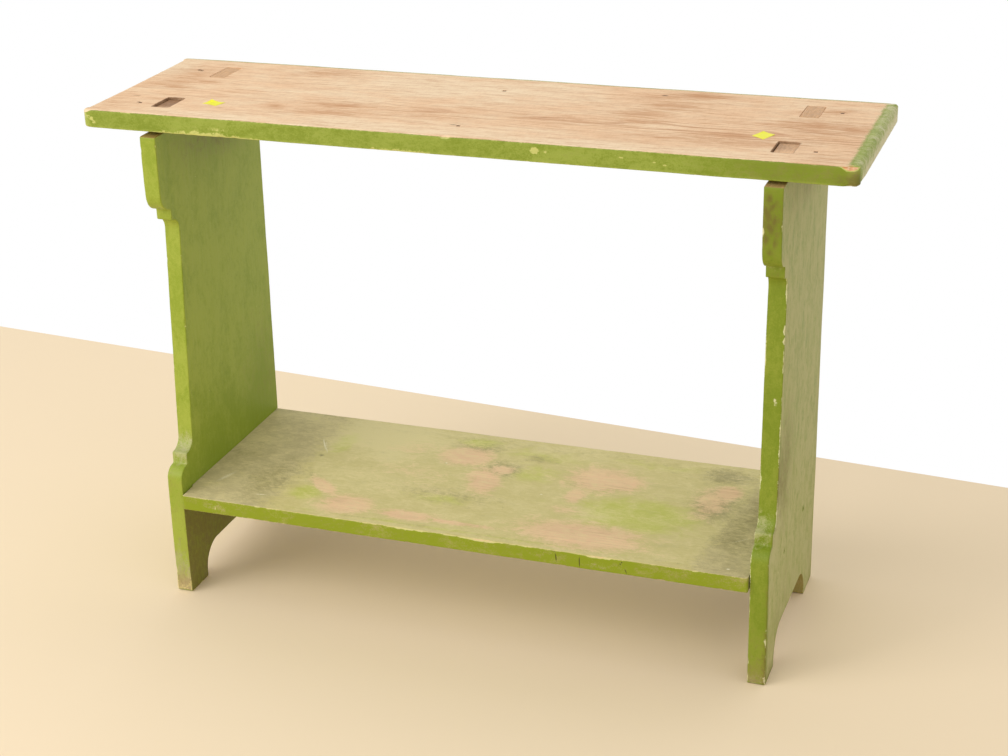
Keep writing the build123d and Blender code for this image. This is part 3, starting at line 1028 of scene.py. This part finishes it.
def end_cuts(name, side, outer, thickness, back):
    """The boxes that an end board's housing and its nails' shallow pockets take out of it."""
    shelf_low, shelf_high = box_of("shelf_board")
    shelf_line = section_loops("shelf_board", 2, shelf_low[2] + SECTION_HEIGHT)[0]
    bottom = (shelf_low, shelf_high)[side > 0][0]
    tongue = shelf_line[np.abs(shelf_line[:, 0] - bottom) < 0.5]
    mouth = side * (outer - thickness - 8)
    cuts = [(
        np.array([min(mouth, bottom), tongue[:, 1].min(), shelf_low[2]]),
        np.array([max(mouth, bottom), back + 8, shelf_high[2] + HOUSING_HEADROOM]),
    )]
    for nail_low, nail_high in separate_boxes(f"{name}_shelf_nails"):
        head_x = nail_high[0] if side > 0 else nail_low[0]
        ends = sorted((head_x - side * END_POCKET_DEPTH, head_x + side * CUT_PAST))
        cuts.append((
            np.array([ends[0], nail_low[1] + NAIL_TIGHTNESS, nail_low[2] + NAIL_TIGHTNESS]),
            np.array([ends[1], nail_high[1] - NAIL_TIGHTNESS, nail_high[2] - NAIL_TIGHTNESS]),
        ))
    return cuts


# Chips in the end boards' outer and inner arrises: y, z, length and depth.
END_CHIPS = {
    "left": (
        [
            (-98, 440, 6, 0.4), (-100, 300, 6, 0.4), (-137, 30, 9, 0.9), (-124, 590, 7, 0.5),
        ],
        [
            (-124, 596, 5, 0.4), (-100, 360, 14, 0.4), (-137, 90, 7, 0.5), (-137, 12, 9, 0.9),
        ],
    ),
    "right": (
        [
            (-96, 478, 12, 0.5), (-98, 430, 5, 0.6), (-98, 417, 5, 0.6), (-100, 351, 5, 0.6),
            (-101, 307, 8, 0.5), (-137, 60, 9, 0.5), (-136, 8, 8, 0.6), (-124, 560, 9, 0.5),
        ],
        [
            (-96, 417, 5, 0.5), (-100, 250, 6, 0.4), (-137, 30, 8, 0.7), (-124, 540, 6, 0.4),
        ],
    ),
}
END_SEEDS = {"left": 21, "right": 31}


def end_board(side, material):
    """One end board. side is -1 for the left one, which leans out to its foot, and 1 for the right one."""
    left = side < 0
    name = "left" if left else "right"
    low, high = box_of(f"{name}_end_board")
    shoulder = box_of("top_board")[0][2]
    shelf_low, shelf_high = box_of("shelf_board")
    tenon_low, tenon_high = tenon_faces(f"{name}_end_board", shoulder + 8)
    thickness = tenon_high - tenon_low
    outer = max(-tenon_low, tenon_high)
    lean = (high[0] - low[0]) - thickness
    middle = side * (outer - thickness / 2 + lean / 2)
    loops = [loop for loop in section_loops(f"{name}_end_board", 0, middle) if span(loop) > SMALLEST_LOOP]

    def inner_arris(_, z):
        """How worn the arris is round the inner face, and sharp where the shoulder meets the top."""
        return 0.8 - 0.55 * ease(z, shoulder - 1.5, shoulder)

    def outer_arris(y, z):
        """The same round the outer face, and more worn low at the front."""
        low_front = ease(-z, -260, -120) * ease(-y, 60, 120)
        return inner_arris(y, z) + (0.4 if left else 0.9) * low_front

    board = Board(
        loops, thickness, seed=END_SEEDS[name], sizes=(outer_arris, inner_arris), nicks=0.3,
        chips=END_CHIPS[name],
    )
    y, z, depth = board.points.T
    x = side * (outer - depth + lean * np.clip(1 - z / shoulder, 0, 1))
    x += 0.15 * swell(y, z, 160, board.rng)

    fields = edge_fields(board)
    fields.update(end_paint_fields(board, left, y, z, shoulder, shelf_low, shelf_high))
    fields.update(end_grain_fields(board, left, x, y, z, shoulder, tenon_low, tenon_high))
    (mark_left_end if left else mark_right_end)(fields, board, y, z)
    piece = make_object(f"worn_{name}_end", np.column_stack([x, y, z]), board.faces, fields)
    carve(piece, end_cuts(name, side, outer, thickness, high[1]), PAINTED_OVER)
    finish_piece(piece, material, "painted_ends", f"{name}_end_board")


# The worn, the bright and the dark patches on the shelf's face, by x and y.
SHELF_BARE = [
    (-60, 68, 34, 25, 1.0), (-14, 8, 20, 36, 0.95, 18), (-206, -64, 30, 9, 0.95, -41),
    (-157, -103, 32, 22, 1.0), (-75, -110, 36, 12, 1.0), (-10, -112, 56, 5, 0.85), (130, 51, 48, 34, 0.85),
    (158, 50, 24, 20, 1.05), (110, 0, 12, 20, 0.8), (149, -98, 74, 30, 1.0), (280, 27, 28, 48, 0.62),
    (294, 61, 18, 18, 1.05), (-135, 72, 30, 26, 0.5), (-120, 0, 90, 60, 0.3), (110, -42, 26, 16, 0.5),
    (-2, 42, 16, 12, 0.8),
]
SHELF_BRIGHT = [
    (197, -28, 68, 40, 1.0), (-221, -88, 20, 18, 1.0), (42, 41, 30, 24, 0.7), (-54, 112, 28, 14, 0.8),
    (0, -131, 230, 4, 0.6), (-233, 60, 15, 34, 0.85), (-46, -55, 42, 16, 0.6), (-290, 116, 36, 14, 0.9),
    (35, 100, 60, 20, 0.5), (190, 112, 60, 14, 0.5),
]
# One row, the strip along y -131, is painted shade along the front arris; the others are dark stains.
SHELF_MURK_AND_SHADE = [
    (280, 107, 30, 22, 0.9), (35, 88, 22, 14, 0.5), (-170, 47, 9, 4, 0.5), (-246, 16, 4, 3, 0.7),
    (0, -131, 300, 3.5, 0.4), (-280, -72, 26, 44, 0.6), (-52, 104, 30, 22, 0.9), (284, 30, 26, 44, 0.9),
    (332, -20, 26, 60, 0.5), (0, 45, 24, 20, 0.85), (-40, -44, 80, 24, 0.45), (-232, -44, 26, 20, 0.3),
    (-340, 0, 30, 70, 0.22), (110, 36, 30, 20, 0.3), (215, 112, 30, 14, 0.35), (20, 120, 260, 13, 0.3),
]


def shelf_fields(board, x, y, front, pale_marks, dark_marks):
    """How the shelf's paint is rubbed, faded, dusty, stained, scratched and cracked."""
    on_face = board.wrap < 0
    on_front = (y < front + 4) & ~on_face & (board.wrap < board.thickness)
    below = board.wrap > board.thickness
    fields = {}
    left_dust = ease(-x, 212, 284)
    right_dust = ease(x - 0.12 * y, 282, 332)
    dust = np.maximum(left_dust, right_dust)
    fields["worn"] = on_face * patches(x, y, SHELF_BARE) * (1 - 0.9 * dust)
    fields["lime"] = on_face * patches(x, y, SHELF_BRIGHT) * (1 - 0.7 * dust)
    fields["scratch"] = on_face * patches(x, y, pale_marks)
    fields["face"] = on_face
    fields["pale"] = on_face * patches(x, y, [
        (-185, 96, 66, 40, 1.2), (-160, 44, 26, 20, 0.9), (-150, -30, 60, 24, 0.4), (150, -40, 26, 14, 0.5),
        (-300, 118, 70, 16, 0.5), (-340, 40, 30, 30, 0.4), (60, 118, 50, 14, 0.4),
    ])
    fields["bare"] = 0.1 * below - 0.25 * on_face + on_front * patches(x, board.wrap, [
        (36, 0.4, 16, 1.2, 0.7), (184, 0.4, 12, 1.0, 0.6),
    ])
    fields["fleck"] = np.where(on_front, patches(x, board.wrap, [
        (35, 0.5, 20, 2.2, 0.6), (184, 0.5, 15, 1.8, 0.55), (-60, 0.5, 34, 1.4, 0.5), (-320, 8, 26, 6, 0.2),
        (-321, 9, 1.0, 7, 0.5, 4), (-262, 18, 60, 1.0, 0.25), (90, 0.3, 30, 0.8, 0.3),
        (0, 0.4, 360, 1.0, 0.28), (0, 10, 360, 8, 0.05),
    ]), 0)
    fields["crack"] = np.where(on_front, patches(x, board.wrap, [
        (131, 9, 0.9, 8, 1.1, -8), (160, 11, 0.9, 9, 1.1), (211, 5, 0.9, 6, 1.1, 38),
        (217, 14, 0.9, 4, 1.0, -30), (128, 1.5, 5, 1.0, 0.8), (222, 19, 6, 1.0, 0.7),
    ]), 0.75 * on_face * patches(x, y, dark_marks))
    fields["faded"] = np.select([on_front, below], [0.06, 0.2], 0.8)
    edge_dust = patches(x, board.wrap, [
        (-325, 12, 44, 10, 0.40), (-150, 14, 60, 6, 0.3), (60, 5, 60, 5, 0.25), (200, 13, 60, 9, 0.46),
        (330, 8, 44, 9, 0.34),
    ])
    fields["dust"] = np.select([on_front, below], [edge_dust - 0.12, 0.4], 0.02 + 0.75 * dust)
    fields["stain"] = np.select(
        [on_front, below], [0.22, 0.3], patches(x, y, SHELF_MURK_AND_SHADE) + 0.1 * left_dust + 0.2 * right_dust
    )
    return fields


def shelf_board(material):
    """The shelf, painted and worn through in patches."""
    low, high = box_of("shelf_board")
    front = low[1]
    loops = section_loops("shelf_board", 2, low[2] + SECTION_HEIGHT)[:1]
    upper_chips = [(x, front, reach, 0.5) for x, reach in (
        (-71, 8), (-58, 12), (-42, 8), (-4, 16), (12, 9), (33, 12), (47, 9), (77, 7), (90, 9), (175, 9),
        (194, 7), (-262, 6), (300, 7),
    )]
    lower_places = ((-180, 9), (-60, 7), (140, 8), (260, 10), (330, 7))
    lower_chips = [(x, front, reach, 0.5) for x, reach in lower_places]
    pale_marks = [
        (-256, 48, 26, 0.9, 0.8, -62), (-249, 40, 20, 0.8, 0.7, -62), (-338, -76, 5, 24, 0.5, -20),
        (-272, -110, 9, 0.9, 0.8, 10), (333, -56, 19, 1.0, 0.6, 41), (-79, 42, 1.6, 1.2, 1.0),
        (68, -8, 1.6, 1.2, 1.0), (336, -127, 2.0, 1.4, 1.0),
    ]
    dark_marks = [
        (-128, -35, 60, 0.9, 0.8), (-170, 49, 7, 1.2, 0.8), (-246, 16, 2.4, 1.8, 1.0),
        (-150, -29, 40, 0.8, 0.6, 2), (-110, -41, 36, 0.8, 0.6, -1),
    ]
    board = Board(
        loops, high[2] - low[2], seed=41, sizes=(0.8, 0.8), nicks=0.4, chips=(upper_chips, lower_chips),
        marks=pale_marks + dark_marks,
    )
    x, y, depth = board.points.T
    points = np.column_stack([x, y, high[2] - depth])
    points[:, 2] += 0.12 * swell(x, y, 150, board.rng)
    fields = edge_fields(board)
    fields.update(shelf_fields(board, x, y, front, pale_marks, dark_marks))
    piece = make_object("worn_shelf", points, board.faces, fields)
    finish_piece(piece, material, "painted_shelf", "shelf_board")


def worn_shelf_paint(name, paint):
    """The shelf's paint, rubbed through in soft-edged patches on its face."""
    surface = Surface(name)
    colour, roughness, height = paint_layer(surface, 0, paint)
    wood_colour, wood_height = bare_wood(surface, 0, *paint.wood)
    blots = surface.noise((30, 20, 20), 5, 0.68, 0.8)
    flecks = surface.noise((7, 2.6, 2.6), 4, 0.7, 0.4)
    specks = surface.noise((1.6, 1.1, 1.1), 3, 0.7)
    murk = surface.noise((34, 18, 18), 5, 0.68, 0.8)
    lime = surface.total((surface.field("lime"), 0.9), (murk, 0.95), (flecks, 0.5), (specks, 0.35))
    colour = surface.over(colour, tone(192, 192, 78), lime, 1.08, 1.60)
    scuffed = surface.total((surface.field("worn"), 0.85), (blots, 0.95), (flecks, 0.7), (specks, 0.4))
    thin = surface.step(scuffed, 1.22, 1.62)
    undercoat, wood = rubbed(surface)
    colour = surface.mix(thin, colour, wood_colour)
    cloudy = surface.total((surface.field("pale"), 0.4), (blots, 0.8), (flecks, 0.8), (specks, 0.6))
    upper_face = surface.field("face")
    pale_cloud = surface.times(surface.step(cloudy, 0.90, 1.45, 0.0, 0.58), upper_face)
    colour = surface.mix(pale_cloud, colour, tone(238, 222, 164))
    grey = surface.total((surface.noise((50, 22, 22), 4, 0.65, 0.6), 1.0), (flecks, 0.4))
    grey_cloud = surface.times(surface.step(grey, 0.72, 1.05, 0.0, 0.25), upper_face)
    colour = surface.mix(grey_cloud, colour, tone(160, 154, 96))
    colour = surface.over(colour, tone(140, 126, 64), specks, 0.55, 0.85, 0.42)
    colour = surface.mix(surface.times(undercoat, 0.8), colour, paint.under)
    colour = surface.mix(wood, colour, wood_colour)
    scratched = surface.total((surface.field("scratch"), 1.0), (specks, 0.5))
    scratch = surface.step(scratched, 0.55, 0.95, 0.0, 0.8)
    colour = surface.mix(scratch, colour, tone(244, 236, 206))
    crack = surface.step(surface.total((surface.field("crack"), 1.0), (specks, 0.4)), 0.70, 1.0, 0.0, 0.9)
    colour = surface.mix(crack, colour, tone(82, 72, 30))
    height = surface.total(
        (height, 1.0), (thin, -0.12), (surface.times(wood_height, thin), 0.7), (undercoat, -0.08),
        (flecks, 0.05), (crack, -0.4), (scratch, -0.1),
    )
    roughness = surface.math("MULTIPLY_ADD", thin, 0.12, roughness)
    return surface.finish(colour, roughness, height)


# A nail's outline: shares of its length, each with a share of its head's width.
NAIL_STATIONS = (
    (0.02, 0.45), (0.0, 0.75), (0.0, 0.93), (0.012, 1.0), (0.045, 0.96), (0.062, 0.64), (0.075, 0.62),
    (0.5, 0.45), (0.97, 0.27), (1.0, 0.12),
)
HEAD_STATIONS = 5        # the first stations are the hammered head
NAIL_SIDES = 12
NAIL_SQUARENESS = 0.7    # 0 for a round nail, 1 for a square one
HEAD_SPREAD = 1.08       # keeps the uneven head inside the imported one
SHANK_SIZE = 0.97


def worn_nails(name, node, axis, material, slot, values=None):
    """Hand-cut nails in place of a CAD node's: irregular hammered heads on square tapering shanks."""
    rng = np.random.default_rng(len(node))
    points = []
    faces = []
    sides = NAIL_SIDES
    for low, high in separate_boxes(node):
        across = [index for index in range(3) if index != axis]
        middle = (low + high) / 2
        head_first = high[axis] if axis == 2 or middle[0] > 0 else low[axis]
        tip = low[axis] + high[axis] - head_first
        half = (high - low)[across[0]] / 2
        lumps = rng.uniform(0.86, 1.0, sides)
        base = len(points)
        for number, (share, size) in enumerate(NAIL_STATIONS):
            for corner in range(sides):
                angle = math.tau * (corner + 0.5) / sides
                square = 1 / max(abs(math.cos(angle)), abs(math.sin(angle)))
                lump = lumps[corner] if number < HEAD_STATIONS else SHANK_SIZE
                reach = half * size * (1 + (square - 1) * NAIL_SQUARENESS) / HEAD_SPREAD * lump
                spot = np.zeros(3)
                spot[axis] = head_first + (tip - head_first) * share
                spot[across[0]] = middle[across[0]] + reach * math.cos(angle)
                spot[across[1]] = middle[across[1]] + reach * math.sin(angle)
                points.append(spot)
        for ring in range(len(NAIL_STATIONS) - 1):
            for corner in range(sides):
                a = base + ring * sides + corner
                b = base + ring * sides + (corner + 1) % sides
                faces.append([a, b, b + sides, a + sides])
        faces.append([base + corner for corner in range(sides)])
        faces.append([base + (len(NAIL_STATIONS) - 1) * sides + corner for corner in range(sides)])
    piece = make_object(name, points, faces, everywhere(values, points))
    finish_piece(piece, material, slot, node)


STICKER_POINTS = 13      # along each side of a paper square
CURLED_SHARE = 0.75      # how far the curl reaches in from the first corner, in parts of a side
PAPER_RIPPLE = 0.10
PAPER_LEVEL = 0.22       # of the flat part's upper side over the board
PAPER_THICKNESS = 0.12


def sticker(name, corners, lift, material):
    """A small paper square that has begun to curl off the top at its first corner."""
    face = box_of("top_board")[1][2]
    corners = np.array(corners, float)
    count = STICKER_POINTS
    sheet = []
    for i in range(count):
        for j in range(count):
            u, v = i / (count - 1), j / (count - 1)
            near = corners[0] * (1 - u) + corners[1] * u
            far = corners[3] * (1 - u) + corners[2] * u
            spot = near * (1 - v) + far * v
            curl = max(0.0, 1 - (u + v) / CURLED_SHARE)
            ripple = PAPER_RIPPLE * math.sin(5 * u + 2) * math.sin(4 * v + 1)
            height = PAPER_LEVEL + lift * curl**2 + ripple
            sheet.append((*spot, face + height))
    points = sheet + [(p, q, r - PAPER_THICKNESS) for p, q, r in sheet]
    faces = []
    under = count * count
    for i in range(count - 1):
        for j in range(count - 1):
            a, b, c, d = i * count + j, i * count + j + 1, (i + 1) * count + j + 1, (i + 1) * count + j
            faces += [[a, b, c, d], [under + d, under + c, under + b, under + a]]
    rim = list(range(count)) + [i * count + count - 1 for i in range(1, count)]
    rim += [(count - 1) * count + j for j in range(count - 2, -1, -1)]
    rim += [i * count for i in range(count - 2, 0, -1)]
    for a, b in zip(rim, rim[1:] + rim[:1]):
        faces.append([a, b, under + b, under + a])
    piece = make_object(name, points, faces)
    finish_piece(piece, material, None)


# ---------------------------------------------------------------- camera, lights and floor
def make_camera():
    """The camera where the bench was seen from: to the right of its front and above it."""
    azimuth, elevation, roll = 0.3532, 0.4082, -0.0281
    place = Vector((0.76407, -2.01964, 1.22360))
    flat = math.cos(elevation)
    forward = Vector((-math.sin(azimuth) * flat, math.cos(azimuth) * flat, -math.sin(elevation)))
    level = Vector((math.cos(azimuth), math.sin(azimuth), 0))
    lift = level.cross(forward)
    right = math.cos(roll) * level + math.sin(roll) * lift
    up = -math.sin(roll) * level + math.cos(roll) * lift
    data = bpy.data.cameras.new("camera")
    data.lens = 67.80
    data.sensor_width = 36
    camera = bpy.data.objects.new("camera", data)
    turn = Matrix((right, up, -forward)).transposed()
    camera.matrix_world = Matrix.Translation(place) @ turn.to_4x4()
    bpy.context.scene.collection.objects.link(camera)
    bpy.context.scene.camera = camera


def area_lamp(name, place, aim, size, power):
    """A soft rectangular lamp at a place, turned towards its aim."""
    data = bpy.data.lights.new(name, "AREA")
    data.shape = "RECTANGLE"
    data.size, data.size_y = size
    data.energy = power
    lamp = bpy.data.objects.new(name, data)
    lamp.location = place
    lamp.rotation_euler = (Vector(aim) - Vector(place)).to_track_quat("-Z", "Y").to_euler()
    bpy.context.scene.collection.objects.link(lamp)


def stage_sheet(name, corners, material):
    """A flat sheet of the stage at floor level."""
    mesh = bpy.data.meshes.new(name)
    mesh.from_pydata([(*corner, 0) for corner in corners], [], [tuple(range(len(corners)))])
    mesh.materials.append(material)
    sheet = bpy.data.objects.new(name, mesh)
    bpy.context.scene.collection.objects.link(sheet)


def pale_floor(name):
    """A plain pale floor."""
    surface = Surface(name)
    surface.shader.inputs["Base Color"].default_value = tone(248, 226, 192)
    surface.shader.inputs["Roughness"].default_value = 0.75
    surface.shader.inputs["Specular IOR Level"].default_value = 0.2
    return surface.material


def white_backdrop(name):
    """White to the camera and in reflections, and plain white paint to the light."""
    surface = Surface(name)
    surface.shader.inputs["Base Color"].default_value = tone(238, 236, 230)
    surface.shader.inputs["Roughness"].default_value = 0.9
    rays = surface.node("LightPath", {}).outputs
    seen = surface.math("MAXIMUM", rays["Is Camera Ray"], rays["Is Glossy Ray"])
    seen = surface.math("MAXIMUM", seen, rays["Is Transmission Ray"])
    glow = surface.node("Emission", {"Strength": 1.0}).outputs["Emission"]
    blend = surface.node("MixShader", {0: seen, 1: surface.shader.outputs["BSDF"], 2: glow})
    surface.join(surface.tree.nodes["Material Output"].inputs["Surface"], blend.outputs["Shader"])
    return surface.material


def make_stage():
    """A pale floor under the bench, which ends a little behind it at a plain white sheet."""
    reach = 9.0
    edge = 0.513
    slope = -0.0785
    left, right = (-reach, edge - slope * reach), (reach, edge + slope * reach)
    stage_sheet("floor", [(-reach, -reach), (reach, -reach), right, left], pale_floor("pale_floor"))
    stage_sheet("backdrop", [left, right, (reach, reach), (-reach, reach)], white_backdrop("white"))
    world = bpy.data.worlds.new("world")
    bpy.context.scene.world = world
    world.use_nodes = True
    sky = world.node_tree.nodes["Background"].inputs
    sky["Color"].default_value = (1, 1, 1, 1)
    sky["Strength"].default_value = 0.73
    area_lamp("window", (-2.6, -2.2, 1.6), (0.0, -0.2, 0.2), (2.0, 2.0), 42)
    area_lamp("skylight", (-1.0, -2.4, 2.6), (0.0, 0, 0.3), (2.2, 2.2), 22.5)
    area_lamp("wall_bounce", (0.3, 1.7, 0.8), (0.1, 0, 0.25), (3.0, 1.4), 5.3)
    bpy.context.scene.view_settings.view_transform = "Standard"


WOOD = ((232, 196, 156), (212, 170, 128), (150, 108, 72))
left_paint = Paint((138, 156, 36), (163, 175, 63), (188, 184, 134), (222, 216, 140), (112, 96, 38), WOOD)
right_paint = Paint((121, 139, 22), (144, 156, 48), (186, 183, 126), (226, 222, 172), (108, 94, 36), WOOD)
top_paint = Paint((126, 142, 32), (156, 169, 68), (210, 203, 156), (208, 206, 120), (110, 98, 42), WOOD)
shelf_paint = Paint((139, 153, 20), (207, 192, 124), (192, 177, 130), (228, 216, 150), (138, 126, 72),
                    ((242, 202, 160), (231, 190, 150), (192, 150, 110)))
top_board(worn_top_wood("worn_top_wood", top_paint))
left_material = painted_wood("left_end_paint", 2, left_paint)
right_material = painted_wood("right_end_paint", 2, right_paint)
end_board(-1, left_material)
end_board(1, right_material)
shelf_board(worn_shelf_paint("shelf_paint", shelf_paint))
worn_nails("nails_in_top", "top_nails", 2, rusty_iron("rusty_iron"), "nail_iron")
worn_nails("nails_left", "left_shelf_nails", 0, left_material, "nail_iron", PAINTED_OVER)
worn_nails("nails_right", "right_shelf_nails", 0, right_material, "nail_iron", PAINTED_OVER)
paper = label_paper("yellow_paper")
sticker("sticker_left", [(-326, -48.5), (-307, -50.5), (-312, -66.5), (-333, -59.5)], 2.4, paper)
sticker("sticker_right", [(337.6, -12.3), (352.7, -21.4), (344.1, -42.1), (328.9, -30.8)], 0.5, paper)
make_camera()
make_stage()
